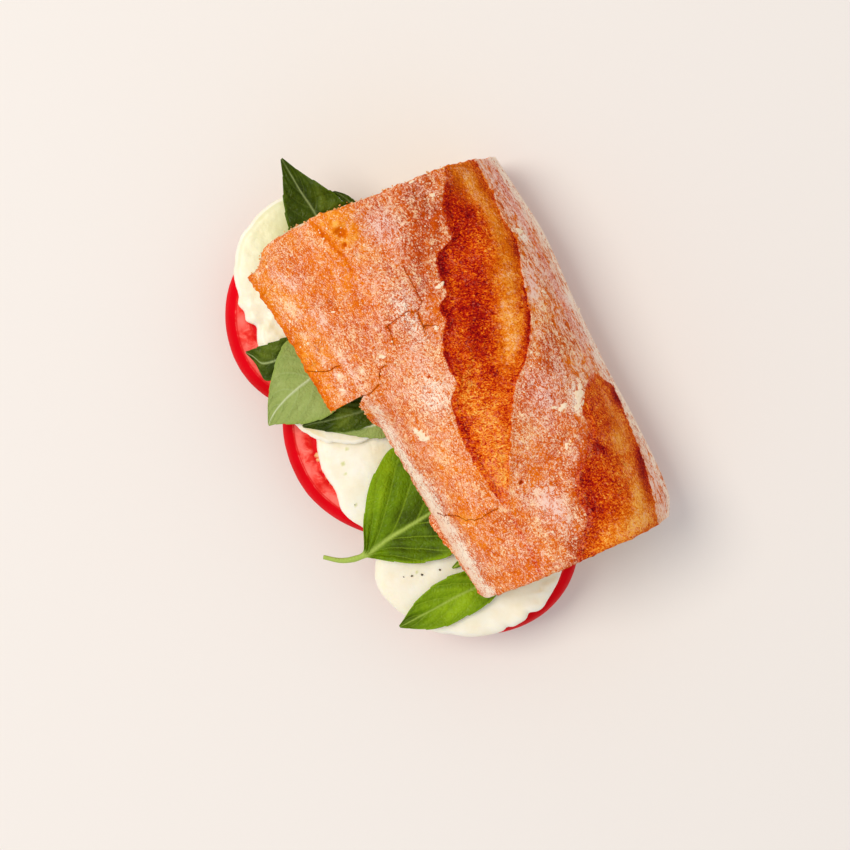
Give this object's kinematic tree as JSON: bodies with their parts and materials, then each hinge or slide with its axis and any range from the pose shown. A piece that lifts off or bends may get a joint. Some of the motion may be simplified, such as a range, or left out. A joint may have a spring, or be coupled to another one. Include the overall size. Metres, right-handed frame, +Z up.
{
  "type": "caprese sandwich",
  "caption": "Sandwich in a cut length of crusty floured loaf, its scored upper half propped open over slices of tomato and mozzarella and fresh basil leaves.",
  "frame": {"origin": "under the middle of the whole sandwich, on the plane it rests on", "axes": "+X along the loaf, +Y towards the closed side where the two bread halves meet, -Y towards the open side where the filling shows, +Z up"},
  "size_m": [0.1904, 0.1302, 0.0687],
  "materials": {
    "bread": "dry floured crust, browned",
    "tomato": "wet cut flesh and glossy skin",
    "mozzarella": "soft, moist, creamy white",
    "basil": "fresh leaf, satin"
  },
  "bodies": {
    "root": {"bread_top": "bread", "bread_bottom": "bread", "tomato_slice_left": "tomato", "tomato_slice_middle": "tomato", "tomato_slice_right": "tomato", "mozzarella_slice_left": "mozzarella", "mozzarella_slice_middle": "mozzarella", "mozzarella_slice_right": "mozzarella", "mozzarella_slice_small": "mozzarella", "basil_leaf_back_left": "basil", "basil_leaf_small_left": "basil", "basil_leaf_front_left": "basil", "basil_leaf_front_pale": "basil", "basil_leaf_dark": "basil", "basil_leaf_tucked": "basil", "basil_leaf_with_stem": "basil", "basil_leaf_front_right": "basil", "basil_leaf_tip": "basil"}
  },
  "joints": []
}
